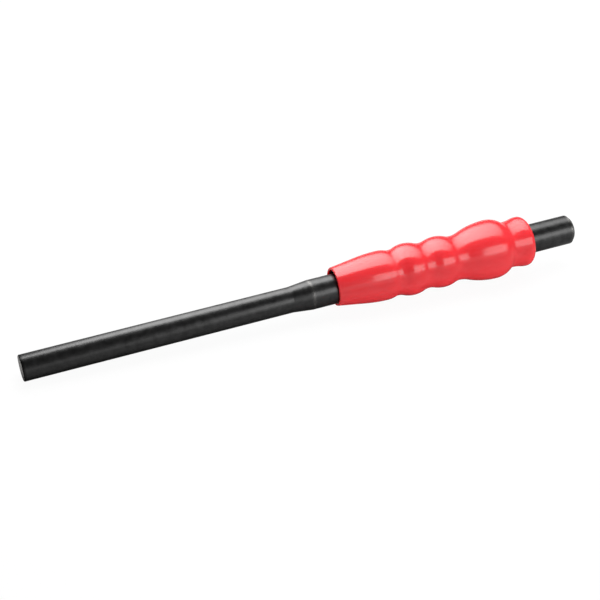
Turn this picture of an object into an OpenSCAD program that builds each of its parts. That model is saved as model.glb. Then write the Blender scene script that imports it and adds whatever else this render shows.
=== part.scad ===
// Pin punch: a turned steel bar with a long driving pin, and a moulded hand grip pushed on to its shank.
// The tool's axis is X. The tip face stands at the origin and the struck face at the far end of +X.

/* [Driving pin] */
// Diameter of the driving pin
pin_d = 12; // [8:0.5:13.5]
// Length of the driving pin, from the tip face to the cone
pin_len = 125; // [60:1:180]
// Chamfer that breaks the edge of the tip face
tip_chamfer = 0.3; // [0.1:0.1:1]

/* [Shank] */
// Diameter of the shank that carries the grip
shank_d = 14; // [13:0.5:18]
// Length of the cone between the pin and the shank
cone_len = 9.5; // [4:0.5:20]
// Bare shank between the cone and the mouth of the grip
front_shank_len = 12.5; // [5:0.5:40]
// Bare shank behind the grip, up to the struck face
rear_shank_len = 24; // [12:0.5:50]
// Chamfer round the struck face
head_chamfer = 1.3; // [0.5:0.1:3]

/* [Grip lengths] */
// Mouth to the crest of the nose
nose_len = 24; // [18:0.5:32]
// Crest of the nose to the first finger groove
nose_fall_len = 5.6; // [4:0.1:9]
// Spacing of the finger grooves
finger_pitch = 16; // [12:0.5:22]
// Last finger groove to the crest of the palm swell
palm_rise_len = 19; // [14:0.5:26]
// Crest of the palm swell to the collar groove
palm_fall_len = 9.2; // [7:0.1:14]
// Collar groove to the crest of the collar
collar_rise_len = 7.5; // [5:0.1:12]
// Rounding of the collar's rear edge
collar_edge_r = 2.7; // [1:0.1:4]

/* [Grip walls and crests] */
// Wall over the shank in the first two finger grooves
finger_wall = 3.9; // [2.5:0.1:6]
// Wall over the shank in the groove before the palm swell
palm_groove_wall = 3.7; // [2.5:0.1:6]
// Wall over the shank in the groove before the collar
collar_groove_wall = 4.1; // [2.5:0.1:6]
// Height of the nose's crest over the first finger groove
nose_rise = 0.9; // [0.4:0.05:2]
// Height of the front finger ridge over its grooves
front_ridge_rise = 1.55; // [0.6:0.05:3]
// Height of the rear finger ridge over its higher groove
rear_ridge_rise = 1.35; // [0.6:0.05:3]
// Height of the palm swell over its higher groove
palm_rise = 3.15; // [1.5:0.05:5]
// Height of the collar over its groove
collar_rise = 0.95; // [0.4:0.05:2]

/* [Grip curves] */
// How far the nose is rounded: 0 is a straight cone and 1 is a single arc
nose_roundness = 0.28; // [0.1:0.02:0.9]
// Share of the nose's rear flank that its crest takes from the groove
nose_share = 0.7; // [0.3:0.05:0.8]
// Share of each finger ridge's flanks that its crest takes
ridge_share = 0.6; // [0.3:0.05:0.8]
// Share of the palm swell's flanks that its crest takes
palm_share = 0.75; // [0.3:0.05:0.8]
// Share of the collar's front flank that its crest takes
collar_share = 0.4; // [0.3:0.05:0.8]

/* [Grip bore] */
// Radial gap between the grip's mouth and the shank
mouth_gap = 1; // [0.2:0.1:1.2]
// Wall of the lip at the mouth, before its edge is rounded
lip_wall = 1; // [0.8:0.1:2]
// Rounding of the mouth's outer edge
mouth_edge_r = 0.5; // [0.2:0.1:0.8]
// Length at the rear over which the bore grips the shank
seat_len = 55; // [30:1:75]
// Radial play between the bore's seat and the shank
seat_play = 0; // [0:0.01:0.1]

/* [Hidden] */
$fn = 240;
bar_colour = "#2c2c2e";
grip_colour = "#dc3239";

// Radii of the bar and of the bore
pin_r = pin_d / 2;
shank_r = shank_d / 2;
seat_r = shank_r + seat_play;
mouth_bore_r = shank_r + mouth_gap;
mouth_r = mouth_bore_r + lip_wall;

// Grooves and crests of the grip as [distance from the mouth, radius], front to rear
first_groove_x = nose_len + nose_fall_len;
palm_groove_x = first_groove_x + 2 * finger_pitch;
collar_groove_x = palm_groove_x + palm_rise_len + palm_fall_len;
grooves = [
    [first_groove_x, shank_r + finger_wall],
    [first_groove_x + finger_pitch, shank_r + finger_wall],
    [palm_groove_x, shank_r + palm_groove_wall],
    [collar_groove_x, shank_r + collar_groove_wall],
];
crests = [
    [nose_len, grooves[0].y + nose_rise],
    [grooves[0].x + finger_pitch / 2, grooves[0].y + front_ridge_rise],
    [grooves[1].x + finger_pitch / 2, max(grooves[1].y, grooves[2].y) + rear_ridge_rise],
    [palm_groove_x + palm_rise_len, max(grooves[2].y, grooves[3].y) + palm_rise],
    [collar_groove_x + collar_rise_len, grooves[3].y + collar_rise],
];
crest_shares = [nose_share, ridge_share, ridge_share, palm_share, collar_share];
collar = crests[len(crests) - 1];
grip_len = collar.x + collar_edge_r;

// Places along the bar
cone_x = pin_len;
shank_x = cone_x + cone_len;
mouth_x = shank_x + front_shank_len;
bar_len = mouth_x + grip_len + rear_shank_len;

// The nose is a straight flank that runs into the crest's arc on a shared tangent
nose_h = crests[0].y - mouth_r;
nose_angle = (1 + nose_roundness) * atan(nose_h / nose_len);
nose_arc_r = fine((nose_len * tan(nose_angle) - nose_h) / (1 / cos(nose_angle) - 1));
nose_tangent = [
    nose_len - nose_arc_r * sin(nose_angle),
    crests[0].y - nose_arc_r * (1 - cos(nose_angle)),
];

// The bore's flare runs from the seat to the mouth
flare_len = grip_len - seat_len;

// Cutters pass the faces that they cut by this much
over = 1;
// Lines and arcs that share a tangent cross by this much, so that they always meet
hair = 0.002;

// Rounds an arc's radius to a micrometre, so that the arcs on both sides of a crest or groove meet there exactly
function fine(r) = round(1000 * r) / 1000;

// Turns a profile drawn as [radius, distance] about the tool's axis
module turned() {
    rotate([0, 90, 0]) rotate_extrude() children();
}

// Plain stretch of a profile between two distances, from the axis out to one radius
module stretch(x0, x1, r) {
    translate([0, min(x0, x1)]) square([r, abs(x1 - x0)]);
}

// Part of a disc that lies between two distances, on the axis or outside it
module disc_stretch(x0, x1, xc, rc, disc_r) {
    intersection() {
        stretch(x0, x1, rc + disc_r + over);
        translate([rc, xc]) circle(disc_r);
    }
}

// Flank between a crest and a groove: two arcs, each level at its own end, that share a tangent where they meet
module flank(crest, groove, share) {
    run = groove.x - crest.x;
    drop = crest.y - groove.y;
    radii = (pow(run, 2) + pow(drop, 2)) / (2 * drop);
    crest_r = fine(share * radii);
    groove_r = fine(radii - crest_r);
    disc_stretch(crest.x, groove.x, crest.x, crest.y - crest_r, crest_r);
    difference() {
        stretch(crest.x, groove.x, crest.y - share * drop);
        translate([groove.y + groove_r, groove.x]) circle(groove_r + hair);
    }
}

// Nose of the grip: rounded mouth edge, straight flank and the front of the first crest
module nose_profile() {
    edge_rc = mouth_r + mouth_edge_r * (tan(nose_angle) - 1 / cos(nose_angle));
    edge_x = mouth_edge_r * (1 - sin(nose_angle));
    edge_top = mouth_r + edge_x * tan(nose_angle);
    stretch(0, mouth_edge_r, edge_rc);
    disc_stretch(-over, edge_x + over, mouth_edge_r, edge_rc, mouth_edge_r);
    polygon([
        [0, edge_x],
        [edge_top - hair, edge_x],
        [nose_tangent.y - hair, nose_tangent.x],
        [0, nose_tangent.x],
    ]);
    disc_stretch(mouth_edge_r, nose_len, nose_len, crests[0].y - nose_arc_r, nose_arc_r);
}

// Rear of the collar: its rounded edge, down to the flat rear face
module collar_end_profile() {
    edge_rc = collar.y - collar_edge_r;
    stretch(collar.x, grip_len, edge_rc);
    disc_stretch(collar.x, grip_len + over, collar.x, edge_rc, collar_edge_r);
}

// Outside of the whole grip, from the mouth to the rear face
module grip_profile() {
    nose_profile();
    for (i = [0 : len(grooves) - 1]) {
        flank(crests[i], grooves[i], crest_shares[i]);
        flank(crests[i + 1], grooves[i], crest_shares[i + 1]);
    }
    collar_end_profile();
}

// Bore of the grip: flared at the mouth, then a straight seat on the shank
module bore_profile() {
    flare_slope = (mouth_bore_r - seat_r) / flare_len;
    polygon([
        [0, -over],
        [mouth_bore_r + over * flare_slope, -over],
        [seat_r, flare_len],
        [seat_r, grip_len + over],
        [0, grip_len + over],
    ]);
}

// Steel bar: driving pin, cone, shank and struck head in one turned piece
module punch_bar() {
    color(bar_colour) turned() polygon([
        [0, 0],
        [pin_r - tip_chamfer, 0],
        [pin_r, tip_chamfer],
        [pin_r, cone_x],
        [shank_r, shank_x],
        [shank_r, bar_len - head_chamfer],
        [shank_r - head_chamfer, bar_len],
        [0, bar_len],
    ]);
}

// Moulded grip: nose, finger ridges, palm swell and collar in one hollow piece
module grip_sleeve() {
    color(grip_colour) translate([mouth_x, 0, 0]) turned() difference() {
        grip_profile();
        bore_profile();
    }
}

punch_bar();
grip_sleeve();
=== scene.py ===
import math

import bpy
from mathutils import Matrix, Quaternion, Vector


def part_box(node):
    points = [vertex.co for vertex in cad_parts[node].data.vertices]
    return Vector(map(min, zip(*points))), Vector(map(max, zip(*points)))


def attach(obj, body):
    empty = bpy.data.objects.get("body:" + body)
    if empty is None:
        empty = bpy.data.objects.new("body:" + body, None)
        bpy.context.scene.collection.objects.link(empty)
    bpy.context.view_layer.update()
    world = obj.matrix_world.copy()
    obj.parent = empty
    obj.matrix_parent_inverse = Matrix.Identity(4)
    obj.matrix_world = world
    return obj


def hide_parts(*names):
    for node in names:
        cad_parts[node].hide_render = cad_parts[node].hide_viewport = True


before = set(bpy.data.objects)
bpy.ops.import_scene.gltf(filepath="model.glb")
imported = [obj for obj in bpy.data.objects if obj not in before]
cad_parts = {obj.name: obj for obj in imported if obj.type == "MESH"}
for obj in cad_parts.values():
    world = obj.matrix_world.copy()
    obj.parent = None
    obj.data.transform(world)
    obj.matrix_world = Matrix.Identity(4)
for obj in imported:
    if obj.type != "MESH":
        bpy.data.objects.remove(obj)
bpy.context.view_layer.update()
scene = bpy.context.scene
scene.view_settings.view_transform = "Standard"
mm = 0.001
print("frame:", sorted(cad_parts))


def linearColour(hexCode):
    channels = [int(hexCode[i:i + 2], 16) / 255 for i in (1, 3, 5)]
    linear = [c / 12.92 if c <= 0.04045 else ((c + 0.055) / 1.055) ** 2.4 for c in channels]
    return (*linear, 1.0)


def addNode(tree, kind, settings=None, links=None):
    node = tree.nodes.new(kind)
    for key, value in (settings or {}).items():
        if isinstance(key, str) and hasattr(node, key):
            setattr(node, key, value)
        else:
            node.inputs[key].default_value = value
    for key, source in (links or {}).items():
        tree.links.new(source, node.inputs[key])
    return node


def newMaterial(name):
    material = bpy.data.materials.new(name)
    material.use_nodes = True
    material.node_tree.nodes.clear()
    return material, material.node_tree


# Camera: the photograph's view, with the tip face at its place in the 600 pixel picture
cameraView = {
    "azimuth": -22.04,
    "elevation": 39.08,
    "imageSize": 600,
    "focalPixels": 1400,
    "tipPixel": (20.83, 368.44),
    "tipDepth": 603.33,  # mm
    "sensor": 36.0,
    "clipStart": 0.01,  # m
}


def makeCamera(spec):
    turn, tilt = math.radians(spec["azimuth"]), math.radians(spec["elevation"])
    right = Vector((math.cos(turn), math.sin(turn), 0))
    back = Vector((math.sin(turn) * math.cos(tilt), -math.cos(turn) * math.cos(tilt), math.sin(tilt)))
    up = back.cross(right)
    centre = spec["imageSize"] / 2
    depth = spec["tipDepth"] * mm
    across = (spec["tipPixel"][0] - centre) / spec["focalPixels"] * depth
    down = (spec["tipPixel"][1] - centre) / spec["focalPixels"] * depth
    place = back * depth - right * across + up * down  # the tip face is at the origin
    data = bpy.data.cameras.new("benchCamera")
    data.sensor_fit = "HORIZONTAL"
    data.sensor_width = spec["sensor"]
    data.lens = spec["sensor"] * spec["focalPixels"] / spec["imageSize"]
    data.clip_start = spec["clipStart"]
    camera = bpy.data.objects.new("benchCamera", data)
    turned = Matrix((right, up, back)).transposed().to_4x4()
    camera.matrix_world = Matrix.Translation(place) @ turned
    scene.collection.objects.link(camera)
    scene.camera = camera


makeCamera(cameraView)
print("camera set")


# Sections: half outlines in mm as (distance along the axis, radius), with marks for each point
def softCorners(corners, steps=7, guard=1.2, guardShare=0.25):
    points = [corners[0][:2]]
    for before, corner, after in zip(corners, corners[1:], corners[2:]):
        here, radius = Vector(corner[:2]), corner[2]
        back, ahead = Vector(before[:2]) - here, Vector(after[:2]) - here
        toBefore, toAfter = back.normalized(), ahead.normalized()
        half = toBefore.angle(toAfter) / 2
        reach = radius / math.tan(half)
        centre = here + (toBefore + toAfter).normalized() * radius / math.sin(half)
        start, end = here + toBefore * reach, here + toAfter * reach
        # A guard point on each side keeps the shading of the straight stretches flat
        points.append(tuple(start + toBefore * min(guard, guardShare * back.length)))
        first, sweep = start - centre, (start - centre).angle_signed(end - centre)
        for i in range(steps + 1):
            spoke = Matrix.Rotation(-sweep * i / steps, 2) @ first
            points.append(tuple(centre + spoke))
        points.append(tuple(end + toAfter * min(guard, guardShare * ahead.length)))
    points.append(corners[-1][:2])
    return points


def marksAt(points, places):
    wearAndLight = []
    for point in points:
        shares = [amount * math.exp(-(math.dist(point, at) / width) ** 2) for at, width, amount in places]
        wearAndLight.append(max(min(sum(shares), 1.0), -1.0))
    return wearAndLight


def sectionObject(name, section, marks):
    mesh = bpy.data.meshes.new(name)
    edges = [(i, i + 1) for i in range(len(section) - 1)]
    mesh.from_pydata([(x * mm, r * mm, 0) for x, r in section], edges, [])
    for mark, values in marks.items():
        attribute = mesh.attributes.new(mark, "FLOAT", "POINT")
        attribute.data.foreach_set("value", values)
    piece = bpy.data.objects.new(name, mesh)
    scene.collection.objects.link(piece)
    return piece


# Lathe: turns a section about X and closes its seam and poles
def latheTree(weld=1e-6):
    tree = bpy.data.node_groups.new("turnedSection", "GeometryNodeTree")
    sockets = tree.interface
    sockets.new_socket("Section", in_out="INPUT", socket_type="NodeSocketGeometry")
    sockets.new_socket("Turns", in_out="INPUT", socket_type="NodeSocketInt")
    sockets.new_socket("Lean Towards", in_out="INPUT", socket_type="NodeSocketVector")
    sockets.new_socket("Slant Width", in_out="INPUT", socket_type="NodeSocketFloat").default_value = 1.0
    sockets.new_socket("Finish", in_out="INPUT", socket_type="NodeSocketMaterial")
    sockets.new_socket("Piece", in_out="OUTPUT", socket_type="NodeSocketGeometry")
    given = addNode(tree, "NodeGroupInput").outputs

    # A unit grid, one column for each point of the section and one row for each turn
    count = addNode(tree, "GeometryNodeAttributeDomainSize", None, {0: given["Section"]})
    rows = addNode(tree, "ShaderNodeMath", {"operation": "ADD", 1: 1.0}, {0: given["Turns"]})
    grid = addNode(
        tree, "GeometryNodeMeshGrid", {"Size X": 1.0, "Size Y": 1.0},
        {"Vertices X": count.outputs["Point Count"], "Vertices Y": rows.outputs[0]},
    )
    place = addNode(tree, "GeometryNodeInputPosition")
    cell = addNode(tree, "ShaderNodeSeparateXYZ", None, {0: place.outputs[0]})
    last = addNode(
        tree, "ShaderNodeMath", {"operation": "SUBTRACT", 1: 1.0}, {0: count.outputs["Point Count"]},
    )
    share = addNode(tree, "ShaderNodeMath", {"operation": "ADD", 1: 0.5}, {0: cell.outputs["X"]})
    step = addNode(
        tree, "ShaderNodeMath", {"operation": "MULTIPLY"}, {0: share.outputs[0], 1: last.outputs[0]},
    )
    index = addNode(tree, "ShaderNodeMath", {"operation": "ROUND"}, {0: step.outputs[0]})
    turn = addNode(tree, "ShaderNodeMath", {"operation": "ADD", 1: 0.5}, {0: cell.outputs["Y"]})
    angle = addNode(tree, "ShaderNodeMath", {"operation": "MULTIPLY", 1: math.tau}, {0: turn.outputs[0]})

    # The section's point and marks for each column
    point = addNode(
        tree, "GeometryNodeSampleIndex", {"data_type": "FLOAT_VECTOR"},
        {"Geometry": given["Section"], "Value": place.outputs[0], "Index": index.outputs[0]},
    )
    marks = {}
    for mark in ("rubbed", "lean", "reach"):
        stored = addNode(tree, "GeometryNodeInputNamedAttribute", {"data_type": "FLOAT", "Name": mark})
        sampled = addNode(
            tree, "GeometryNodeSampleIndex", {"data_type": "FLOAT"},
            {"Geometry": given["Section"], "Value": stored.outputs["Attribute"], "Index": index.outputs[0]},
        )
        marks[mark] = sampled.outputs[0]
    marked = addNode(
        tree, "GeometryNodeStoreNamedAttribute", {"data_type": "FLOAT", "domain": "POINT", "Name": "rubbed"},
        {"Geometry": grid.outputs["Mesh"], "Value": marks["rubbed"]},
    )

    # Turned about X. The reach mark cuts a soft mouth aslant, and the lean mark takes it off the axis
    polar = addNode(tree, "ShaderNodeSeparateXYZ", None, {0: point.outputs[0]})
    cosine = addNode(tree, "ShaderNodeMath", {"operation": "COSINE"}, {0: angle.outputs[0]})
    sine = addNode(tree, "ShaderNodeMath", {"operation": "SINE"}, {0: angle.outputs[0]})
    side = addNode(
        tree, "ShaderNodeMath", {"operation": "MULTIPLY"}, {0: polar.outputs["Y"], 1: cosine.outputs[0]},
    )
    height = addNode(
        tree, "ShaderNodeMath", {"operation": "MULTIPLY"}, {0: polar.outputs["Y"], 1: sine.outputs[0]},
    )
    across = addNode(
        tree, "ShaderNodeMath", {"operation": "DIVIDE"}, {0: side.outputs[0], 1: given["Slant Width"]},
    )
    nearer = addNode(tree, "ShaderNodeMath", {"operation": "SUBTRACT", 0: 1.0}, {1: across.outputs[0]})
    slant = addNode(
        tree, "ShaderNodeMath", {"operation": "MULTIPLY"}, {0: nearer.outputs[0], 1: marks["reach"]},
    )
    along = addNode(
        tree, "ShaderNodeMath", {"operation": "SUBTRACT"}, {0: polar.outputs["X"], 1: slant.outputs[0]},
    )
    where = addNode(
        tree, "ShaderNodeCombineXYZ", None,
        {"X": along.outputs[0], "Y": side.outputs[0], "Z": height.outputs[0]},
    )
    lean = addNode(
        tree, "ShaderNodeVectorMath", {"operation": "SCALE"},
        {0: given["Lean Towards"], "Scale": marks["lean"]},
    )
    turned = addNode(
        tree, "GeometryNodeSetPosition", None,
        {"Geometry": marked.outputs["Geometry"], "Position": where.outputs[0], "Offset": lean.outputs[0]},
    )
    closed = addNode(tree, "GeometryNodeMergeByDistance", {"Distance": weld}, {"Geometry": turned.outputs[0]})
    smooth = addNode(
        tree, "GeometryNodeSetShadeSmooth", {"Shade Smooth": True}, {"Geometry": closed.outputs[0]},
    )
    real = addNode(tree, "GeometryNodeRealizeInstances", None, {"Geometry": smooth.outputs[0]})
    done = addNode(
        tree, "GeometryNodeSetMaterial", None,
        {"Geometry": real.outputs[0], "Material": given["Finish"]},
    )
    addNode(tree, "NodeGroupOutput", None, {"Piece": done.outputs[0]})
    return tree


def turnedPiece(name, section, marks, tree, sizes):
    source = sectionObject(name + "Section", section, marks)
    modifier = source.modifiers.new("turn", "NODES")
    modifier.node_group = tree
    for item in tree.interface.items_tree:
        if item.in_out == "INPUT" and item.name in sizes:
            modifier[item.identifier] = sizes[item.name]
    bpy.context.view_layer.update()
    ready = source.evaluated_get(bpy.context.evaluated_depsgraph_get())
    mesh = bpy.data.meshes.new_from_object(ready)
    mesh.name = name
    bpy.data.objects.remove(source)
    piece = bpy.data.objects.new(name, mesh)
    scene.collection.objects.link(piece)
    print(name, len(mesh.vertices), "vertices")
    return piece


# Carbon steel, turned, hardened and hot blackened in an oxide bath: nearly black, a soft satin sheen from
# the oil in its skin and a faint cloudy mottle. Grey metal is painted on the edges, partly wear and partly
# painted glint, and the chamfers are painted near black as painted shade
blackOxide = {
    "dark": "#434343",
    "light": "#525252",
    "bare": "#c0bdb9",
    "chamferShade": "#101010",  # painted shade: the turned chamfers are coloured near black for the dark rims they show
    "cloud": 3.2,  # mm, size of the cloudy mottle
    "grain": 0.5,  # mm, the bath's crystal grain is finer and is drawn this coarse to show
    "grainShare": 0.25,  # of the mottle, the rest is cloud
    "lines": 0.4,  # mm, turning marks, also drawn coarser than their 0.1 mm
    "lineLength": 16.7,  # mm, how far a turning mark runs on round the bar
    "lineGrain": 0.4,  # share of the relief that is grain, the rest is turning marks
    "relief": (0.05, 0.03),  # strength, and depth in mm
    "roughness": (0.30, 0.38),
}


def blackOxideSteel(spec):
    material, tree = newMaterial("blackOxideSteel")
    spot = addNode(tree, "ShaderNodeTexCoord").outputs["Object"]
    cloud = addNode(
        tree, "ShaderNodeTexNoise", {"Scale": 1 / (spec["cloud"] * mm), "Detail": 3.0, "Roughness": 0.6},
        {"Vector": spot},
    )
    grain = addNode(
        tree, "ShaderNodeTexNoise", {"Scale": 1 / (spec["grain"] * mm), "Detail": 2.0, "Roughness": 0.7},
        {"Vector": spot},
    )
    closeness, length = 1 / (spec["lines"] * mm), 1 / (spec["lineLength"] * mm)
    ringScale = addNode(
        tree, "ShaderNodeMapping", {"Scale": (closeness, length, length)}, {"Vector": spot},
    )
    rings = addNode(
        tree, "ShaderNodeTexNoise", {"Scale": 1.0, "Detail": 1.0}, {"Vector": ringScale.outputs[0]},
    )
    mottle = addNode(
        tree, "ShaderNodeMix", {"data_type": "FLOAT", "Factor": spec["grainShare"]},
        {"A": cloud.outputs["Fac"], "B": grain.outputs["Fac"]},
    )
    skin = addNode(
        tree, "ShaderNodeMapRange", {"From Min": 0.35, "From Max": 0.65}, {"Value": mottle.outputs[0]},
    )
    oxide = addNode(
        tree, "ShaderNodeMix",
        {"data_type": "RGBA", 6: linearColour(spec["dark"]), 7: linearColour(spec["light"])},
        {0: skin.outputs[0]},
    )
    # Above 0 the mark paints bare metal on the edges, partly wear and partly painted glint; below 0 it paints
    # the chamfers near black as painted shade
    rubbed = addNode(tree, "ShaderNodeAttribute", {"attribute_name": "rubbed"})
    patchy = addNode(
        tree, "ShaderNodeMapRange", {"From Min": 0.3, "From Max": 0.7}, {"Value": grain.outputs["Fac"]},
    )
    wearAndGlint = addNode(
        tree, "ShaderNodeMath", {"operation": "MULTIPLY", "use_clamp": True},
        {0: rubbed.outputs["Fac"], 1: patchy.outputs[0]},
    )
    chamferShadeMask = addNode(
        tree, "ShaderNodeMapRange", {"From Min": 0.0, "From Max": -1.0}, {"Value": rubbed.outputs["Fac"]},
    )
    shadedChamfers = addNode(
        tree, "ShaderNodeMix", {"data_type": "RGBA", 7: linearColour(spec["chamferShade"])},
        {0: chamferShadeMask.outputs[0], 6: oxide.outputs[2]},
    )
    colour = addNode(
        tree, "ShaderNodeMix", {"data_type": "RGBA", 7: linearColour(spec["bare"])},
        {0: wearAndGlint.outputs[0], 6: shadedChamfers.outputs[2]},
    )
    low, high = spec["roughness"]
    sheen = addNode(
        tree, "ShaderNodeMapRange", {"From Min": 0.3, "From Max": 0.7, "To Min": low, "To Max": high},
        {"Value": cloud.outputs["Fac"]},
    )
    relief = addNode(
        tree, "ShaderNodeMix", {"data_type": "FLOAT", "Factor": spec["lineGrain"]},
        {"A": rings.outputs["Fac"], "B": grain.outputs["Fac"]},
    )
    strength, depth = spec["relief"]
    bump = addNode(
        tree, "ShaderNodeBump", {"Strength": strength, "Distance": depth * mm},
        {"Height": relief.outputs[0]},
    )
    shader = addNode(
        tree, "ShaderNodeBsdfPrincipled", {"Metallic": 1.0},
        {"Base Color": colour.outputs[2], "Roughness": sheen.outputs[0], "Normal": bump.outputs[0]},
    )
    addNode(tree, "ShaderNodeOutputMaterial", None, {"Surface": shader.outputs[0]})
    return material


# Plasticised PVC, moulded in a polished tool: bright red with a wet gloss, a slight depth to the colour,
# very shallow orange peel and a fine skin grain. Its bore is darkened with painted shade for its shadowed
# inside
softPvc = {
    "colour": "#de3339",
    "deep": "#d72f36",
    # Painted shade: dark red for the shadowed inside of the bore
    "boreShade": "#2e080a",
    "drift": 14.0,  # mm, slow drift of the pigment
    "peel": 2.2,  # mm
    "peelRelief": (0.05, 0.1),  # strength, and depth in mm
    "grain": 0.55,  # mm, drawn coarser than the real skin so that it shows
    "grainRelief": (0.03, 0.05),  # strength, and depth in mm
    "grainShare": 0.35,  # of the change in gloss, the rest is where hands polish the crests
    "roughness": (0.14, 0.19),
    "ior": 1.54,
    "depthShare": 0.5,  # of the light that goes into the plastic and comes out beside
    "depthReach": 4.0,  # mm, of red light
    "depthColours": (1.0, 0.25, 0.2),  # reach of red, green and blue as shares of it
}


def glossySoftPvc(spec):
    material, tree = newMaterial("glossyMouldedPvc")
    spot = addNode(tree, "ShaderNodeTexCoord").outputs["Object"]
    drift = addNode(
        tree, "ShaderNodeTexNoise", {"Scale": 1 / (spec["drift"] * mm), "Detail": 2.0}, {"Vector": spot},
    )
    pigment = addNode(
        tree, "ShaderNodeMix",
        {"data_type": "RGBA", 6: linearColour(spec["deep"]), 7: linearColour(spec["colour"])},
        {0: drift.outputs["Fac"]},
    )
    # Above 0 the mark is the hand's polish on the crests, which only lowers the roughness; below 0 it darkens
    # the bore with painted shade
    polishAndBoreShade = addNode(tree, "ShaderNodeAttribute", {"attribute_name": "rubbed"})
    shadedBore = addNode(
        tree, "ShaderNodeMapRange", {"From Min": 0.0, "From Max": -1.0}, {"Value": polishAndBoreShade.outputs["Fac"]},
    )
    colour = addNode(
        tree, "ShaderNodeMix", {"data_type": "RGBA", 7: linearColour(spec["boreShade"])},
        {0: shadedBore.outputs[0], 6: pigment.outputs[2]},
    )
    peel = addNode(
        tree, "ShaderNodeTexNoise", {"Scale": 1 / (spec["peel"] * mm), "Detail": 1.0}, {"Vector": spot},
    )
    grain = addNode(
        tree, "ShaderNodeTexNoise", {"Scale": 1 / (spec["grain"] * mm), "Detail": 2.0}, {"Vector": spot},
    )
    polish = addNode(
        tree, "ShaderNodeMix", {"data_type": "FLOAT", "Factor": spec["grainShare"]},
        {"A": polishAndBoreShade.outputs["Fac"], "B": grain.outputs["Fac"]},
    )
    low, high = spec["roughness"]
    gloss = addNode(
        tree, "ShaderNodeMapRange", {"From Min": 1.0, "From Max": 0.0, "To Min": low, "To Max": high},
        {"Value": polish.outputs[0]},
    )
    strength, depth = spec["peelRelief"]
    ripple = addNode(
        tree, "ShaderNodeBump", {"Strength": strength, "Distance": depth * mm},
        {"Height": peel.outputs["Fac"]},
    )
    strength, depth = spec["grainRelief"]
    skin = addNode(
        tree, "ShaderNodeBump", {"Strength": strength, "Distance": depth * mm},
        {"Height": grain.outputs["Fac"], "Normal": ripple.outputs[0]},
    )
    shader = addNode(
        tree, "ShaderNodeBsdfPrincipled",
        {
            "IOR": spec["ior"],
            "Subsurface Weight": spec["depthShare"],
            "Subsurface Radius": spec["depthColours"],
            "Subsurface Scale": spec["depthReach"] * mm,
        },
        {"Base Color": colour.outputs[2], "Roughness": gloss.outputs[0], "Normal": skin.outputs[0]},
    )
    addNode(tree, "ShaderNodeOutputMaterial", None, {"Surface": shader.outputs[0]})
    return material


# Steel bar: driving pin, cone, shank and struck head
steelBar = {
    "pinRadius": 6.0,
    "pinLength": 125.0,
    "coneLength": 9.5,
    "shankRadius": 7.0,
    "length": 271.0,
    "tipChamfer": 0.3,
    "headChamfer": 1.3,
    "tipEdge": 0.08,
    "coneEdge": 0.2,
    "headEdge": 0.15,
    # Marks as width in mm and amount, where 1 is bare metal, for edge wear and painted glints, and -1 is the
    # near-black painted shade on the chamfers
    # Bare metal at the cone's edge and the head's edges, partly wear and partly painted glint
    "coneWearAndGlint": (0.3, 0.25),
    "headWearAndGlint": (0.3, 0.5),
    # Painted shade: the tip and head chamfers are coloured near black
    "tipChamferShade": (0.4, -1.0),
    "headChamferShade": (0.7, -1.0),
    "lightTipFace": 1.6,  # mark on the tip face, which turns its colour towards bare metal
    "tipFaceDepth": 0.001,  # mm
    "turns": 160,
}


def barSection(spec):
    pin, shank, length = spec["pinRadius"], spec["shankRadius"], spec["length"]
    cone = spec["pinLength"] + spec["coneLength"]
    tip, head = spec["tipChamfer"], spec["headChamfer"]
    section = softCorners([
        (0.0, 0.0),
        (0.0, pin - tip, spec["tipEdge"]),
        (tip, pin, spec["tipEdge"]),
        (spec["pinLength"], pin, spec["coneEdge"]),
        (cone, shank, spec["coneEdge"]),
        (length - head, shank, spec["headEdge"]),
        (length, shank - head, spec["headEdge"]),
        (length, 0.0),
    ])
    # Bare metal on the edges is partly wear and partly painted glint; the near-black chamfers are painted
    # shade
    wearAndLight = marksAt(section, [
        ((tip / 2, pin - tip / 2), *spec["tipChamferShade"]),
        ((cone, shank), *spec["coneWearAndGlint"]),
        ((length - head, shank), *spec["headWearAndGlint"]),
        ((length - head / 2, shank - head / 2), *spec["headChamferShade"]),
        ((length, shank - head), *spec["headWearAndGlint"]),
    ])
    # The tip face is coloured towards bare metal
    for i, (x, r) in enumerate(section):
        if x < spec["tipFaceDepth"]:
            wearAndLight[i] = spec["lightTipFace"]
    return section, {"rubbed": wearAndLight}


lathe = latheTree()
bar = turnedPiece("blackenedBar", *barSection(steelBar), lathe, {
    "Turns": steelBar["turns"],
    "Finish": blackOxideSteel(blackOxide),
})
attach(bar, "root")
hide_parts("punch_bar")
print("bar made")

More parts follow.
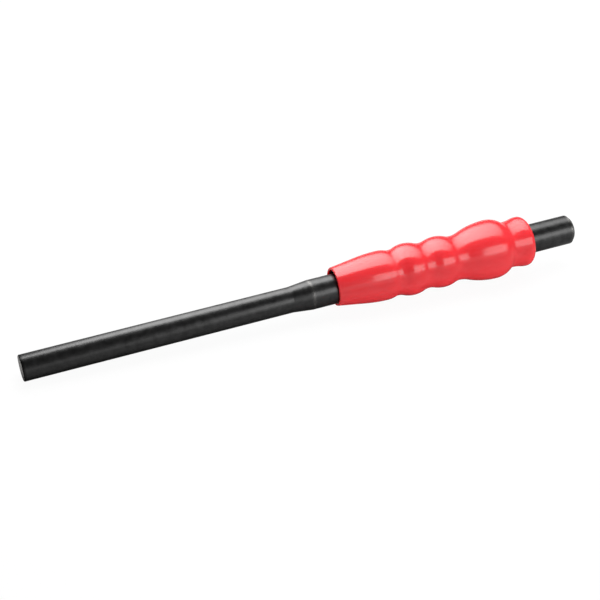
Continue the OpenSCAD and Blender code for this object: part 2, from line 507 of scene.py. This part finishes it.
# Hand grip: nose, finger ridges, palm swell and collar as arcs that share tangents, on a flared bore
handGrip = {
    # Distance from the mouth, and radius
    "crests": [(24.0, 11.8), (37.6, 12.45), (53.6, 12.25), (80.6, 14.25), (97.3, 12.05)],
    "grooves": [(29.6, 10.9), (45.6, 10.9), (61.6, 10.7), (89.8, 11.1)],
    "crestShares": [0.7, 0.6, 0.6, 0.75, 0.4],  # of each flank, the rest is the groove's
    "length": 100.0,
    "mouthRadius": 9.0,
    "mouthEdge": 0.5,
    "noseRoundness": 0.28,
    "collarEdge": 2.7,
    "mouthBore": 8.0,
    "seatBore": 7.0,
    "flareLength": 45.0,
    "flareEdge": 2.0,
    "innerEdge": 0.2,
    "crestWear": (4.5, 1.0),  # width in mm and amount of the hand's polish
    "unshadedBoreEnds": 1.2,  # at each end, the rest of the bore is darkened with painted shade
    "lean": 0.9,  # at the mouth: the soft front sits off the bar's axis
    "leanTowards": (0.0, 0.66, 0.75),
    "leanLength": 70.0,
    "leanBend": 1.25,  # power of its growth towards the mouth
    "reach": 0.35,  # at the mouth: it is cut a little aslant, long at -Y and level with the solid at +Y
    "reachLength": 20.0,
    "reachBend": 2.0,
    "flankSteps": 26,
    "mouthSteps": 10,
    "collarSteps": 14,
    "turns": 176,
}


def arcPoints(centre, radius, start, end, steps):
    spread = [start + (end - start) * i / steps for i in range(steps + 1)]
    return [(centre[0] + radius * math.sin(a), centre[1] + radius * math.cos(a)) for a in spread]


def flankPoints(crest, groove, share, steps):
    run, drop = groove[0] - crest[0], crest[1] - groove[1]
    total = (run ** 2 + drop ** 2) / (2 * drop)
    crestArc, grooveArc = share * total, (1 - share) * total
    crestCentre = (crest[0], crest[1] - crestArc)
    grooveCentre = (groove[0], groove[1] + grooveArc)
    knee = math.asin(run / total)
    crestSteps = round(share * steps)
    upper = arcPoints(crestCentre, crestArc, 0, knee, crestSteps)
    lower = arcPoints(grooveCentre, grooveArc, knee + math.pi, math.pi, steps - crestSteps)
    return upper + lower[1:]


def gripSection(spec, mouthAt):
    crests, grooves, shares = spec["crests"], spec["grooves"], spec["crestShares"]
    steps, inner = spec["flankSteps"], spec["innerEdge"]
    first, last = crests[0], crests[-1]
    rise = first[1] - spec["mouthRadius"]
    slope = (1 + spec["noseRoundness"]) * math.atan(rise / first[0])
    noseArc = (first[0] * math.tan(slope) - rise) / (1 / math.cos(slope) - 1)
    edge = spec["mouthEdge"]
    lipRadius = spec["mouthRadius"] + edge * (math.tan(slope) - 1 / math.cos(slope))
    outline = arcPoints((edge, lipRadius), edge, -math.pi / 2, -slope, spec["mouthSteps"])
    outline += arcPoints((first[0], first[1] - noseArc), noseArc, -slope, 0, steps)
    for i, groove in enumerate(grooves):
        outline += flankPoints(crests[i], groove, shares[i], steps)[1:]
        outline += flankPoints(crests[i + 1], groove, shares[i + 1], steps)[-2::-1]
    collar = spec["collarEdge"]
    outline += arcPoints((last[0], last[1] - collar), collar, 0, math.pi / 2, spec["collarSteps"])[1:]
    bore = softCorners([
        outline[-1],
        (spec["length"], spec["seatBore"], inner),
        (spec["flareLength"], spec["seatBore"], spec["flareEdge"]),
        (0.0, spec["mouthBore"], inner),
        (0.0, lipRadius),
    ])[1:]
    points = outline + bore
    leans, reaches = [], []
    for i, (x, r) in enumerate(points):
        lean = spec["lean"] * max(1 - x / spec["leanLength"], 0) ** spec["leanBend"]
        room = r - spec["seatBore"] if i >= len(outline) else lean  # the bore stays clear of the bar
        leans.append(min(lean, max(room, 0)) * mm)
        reaches.append(spec["reach"] * max(1 - x / spec["reachLength"], 0) ** spec["reachBend"] * mm)
    wearAndLight = marksAt(outline, [(crest, *spec["crestWear"]) for crest in crests])
    # Painted shade: the bore is coloured dark except near its ends
    for x, r in bore:
        inside = max(min(x, spec["length"] - x), 0)
        wearAndLight.append(-min(inside / spec["unshadedBoreEnds"], 1.0))
    section = [(mouthAt + x, r) for x, r in points]
    return section, {"rubbed": wearAndLight, "lean": leans, "reach": reaches}


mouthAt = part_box("grip_sleeve")[0].x / mm
grip = turnedPiece("mouldedGrip", *gripSection(handGrip, mouthAt), lathe, {
    "Turns": handGrip["turns"],
    "Lean Towards": handGrip["leanTowards"],
    "Slant Width": steelBar["shankRadius"] * mm,
    "Finish": glossySoftPvc(softPvc),
})
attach(grip, "root")
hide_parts("grip_sleeve")
print("grip made")

# Studio: a white table, a long softbox above and behind, a front panel with its spill, and a low front fill
softbox = {
    "centre": (0.17, 0.258, 0.369),
    "roll": -17,
    "radiance": 7.6,  # at its tip end
    "fade": (0.95, 0.60),  # m, reach of its light from the tip end, and from the flag's edge to its back
    "flagEdge": 0.063,  # m, in front of this a flag keeps its light off the bar
}
studio = {
    "tableSize": 40.0,
    "tableGap": 0.05,  # mm, under the tool
    "tableColour": "#fafafa",
    "tableWhite": 0.95,  # share of plain white that the eye sees, the rest keeps the shadow
    "tableGloss": "#8e8e8e",  # reflections see it as a pale grey that keeps the shadow too
    "roomColour": "#575757",
    "roomLevel": 1.0,
    # Each panel looks at the axis from its centre. Sides in m from there: left, right, low and high
    "panels": [
        {
            "name": "softboxBack",
            **softbox,
            "sides": (-0.80, 0.15, -0.50, softbox["flagEdge"]),
        },
        {
            "name": "softboxFront",
            **softbox,
            "sides": (-0.80, 0.15, softbox["flagEdge"], 0.30),
            "flagged": True,
        },
        {
            "name": "frontPanel",
            "centre": (0.41, -0.307, 0.20),
            "roll": 0,
            "sides": (-0.20, 0.20, -0.085, 0.085),
            "radiance": 3.1,
        },
        {
            "name": "frontSpill",
            "centre": (0.49, -0.307, 0.20),
            "roll": 0,
            "sides": (-0.285, 0.285, -0.10, 0.10),
            "radiance": 1.3,
        },
        {
            "name": "frontFill",
            "centre": (0.50, -0.545, 0.12),
            "roll": 0,
            "sides": (-0.52, 0.50, -0.12, 0.13),
            "radiance": 0.6,
        },
    ],
}


def tableMaterial(spec):
    material, tree = newMaterial("mattWhiteTable")
    path = addNode(tree, "ShaderNodeLightPath").outputs
    share = addNode(
        tree, "ShaderNodeMath", {"operation": "MULTIPLY", 1: spec["tableWhite"]}, {0: path["Is Camera Ray"]},
    )
    mirrored = addNode(
        tree, "ShaderNodeMath", {"operation": "MAXIMUM"},
        {0: path["Is Glossy Ray"], 1: path["Is Transmission Ray"]},
    )
    matt = addNode(tree, "ShaderNodeBsdfDiffuse", {"Color": linearColour(spec["tableColour"])})
    white = addNode(tree, "ShaderNodeEmission", {"Strength": 1.0})
    gloss = addNode(tree, "ShaderNodeBsdfDiffuse", {"Color": linearColour(spec["tableGloss"])})
    seen = addNode(
        tree, "ShaderNodeMixShader", None, {0: share.outputs[0], 1: matt.outputs[0], 2: white.outputs[0]},
    )
    mixed = addNode(
        tree, "ShaderNodeMixShader", None, {0: mirrored.outputs[0], 1: seen.outputs[0], 2: gloss.outputs[0]},
    )
    addNode(tree, "ShaderNodeOutputMaterial", None, {"Surface": mixed.outputs[0]})
    return material


def makeTable(spec):
    half = spec["tableSize"] / 2
    palmX, palmRadius = max(handGrip["crests"], key=lambda crest: crest[1])
    pin = steelBar["pinRadius"]
    slope = (palmRadius - pin) / (mouthAt + palmX)  # the tool lies on its tip and its palm swell
    corners = []
    for x, y in ((-half, -half), (half, -half), (half, half), (-half, half)):
        corners.append((x, y, -(pin + spec["tableGap"]) * mm - slope * x))
    mesh = bpy.data.meshes.new("table")
    mesh.from_pydata(corners, [], [(0, 1, 2, 3)])
    mesh.materials.append(tableMaterial(spec))
    table = bpy.data.objects.new("table", mesh)
    scene.collection.objects.link(table)


# The light falls evenly from the panel's tip end, and faster and faster from the flag's edge to its back
def fadeLight(data, panel):
    left, right, low, high = panel["sides"]
    along, back = panel["fade"]
    data.use_nodes = True
    tree = data.node_tree
    spot = addNode(tree, "ShaderNodeNewGeometry").outputs["Parametric"]
    place = addNode(
        tree, "ShaderNodeMapping",
        {
            "Location": ((right - left) / along, (panel["flagEdge"] - low) / back, 0.0),
            "Scale": ((left - right) / along, (low - high) / back, 0.0),
        },
        {"Vector": spot},
    )
    spread = addNode(tree, "ShaderNodeSeparateXYZ", None, {0: place.outputs[0]})
    behind = addNode(tree, "ShaderNodeMath", {"operation": "MAXIMUM", 1: 0.0}, {0: spread.outputs["Y"]})
    away = addNode(
        tree, "ShaderNodeMath", {"operation": "MULTIPLY_ADD"},
        {0: behind.outputs[0], 1: behind.outputs[0], 2: spread.outputs["X"]},
    )
    strength = addNode(
        tree, "ShaderNodeMath", {"operation": "SUBTRACT", "use_clamp": True, 0: 1.0}, {1: away.outputs[0]},
    )
    tree.links.new(strength.outputs[0], tree.nodes["Emission"].inputs["Strength"])


def makeLights(spec):
    flag = bpy.data.collections.new("barFlag")
    flag.objects.link(bar)
    flag.collection_objects[0].light_linking.link_state = "EXCLUDE"
    for panel in spec["panels"]:
        left, right, low, high = panel["sides"]
        data = bpy.data.lights.new(panel["name"], "AREA")
        data.shape = "RECTANGLE"
        data.size, data.size_y = right - left, high - low
        data.energy = panel["radiance"] * math.pi * data.size * data.size_y
        if "fade" in panel:
            fadeLight(data, panel)
        centre = Vector(panel["centre"])
        outward = Vector((0, *centre.yz)).to_track_quat("Z", "Y")
        facing = outward @ Quaternion((0, 0, 1), math.radians(panel["roll"]))
        lamp = bpy.data.objects.new(panel["name"], data)
        lamp.location = centre + facing @ Vector(((left + right) / 2, (low + high) / 2, 0))
        lamp.rotation_euler = facing.to_euler()
        if panel.get("flagged"):
            lamp.light_linking.receiver_collection = flag
        scene.collection.objects.link(lamp)
    world = bpy.data.worlds.new("room")
    world.use_nodes = True
    room = world.node_tree.nodes["Background"]
    room.inputs["Color"].default_value = linearColour(spec["roomColour"])
    room.inputs["Strength"].default_value = spec["roomLevel"]
    scene.world = world


makeTable(studio)
makeLights(studio)
print("studio set")
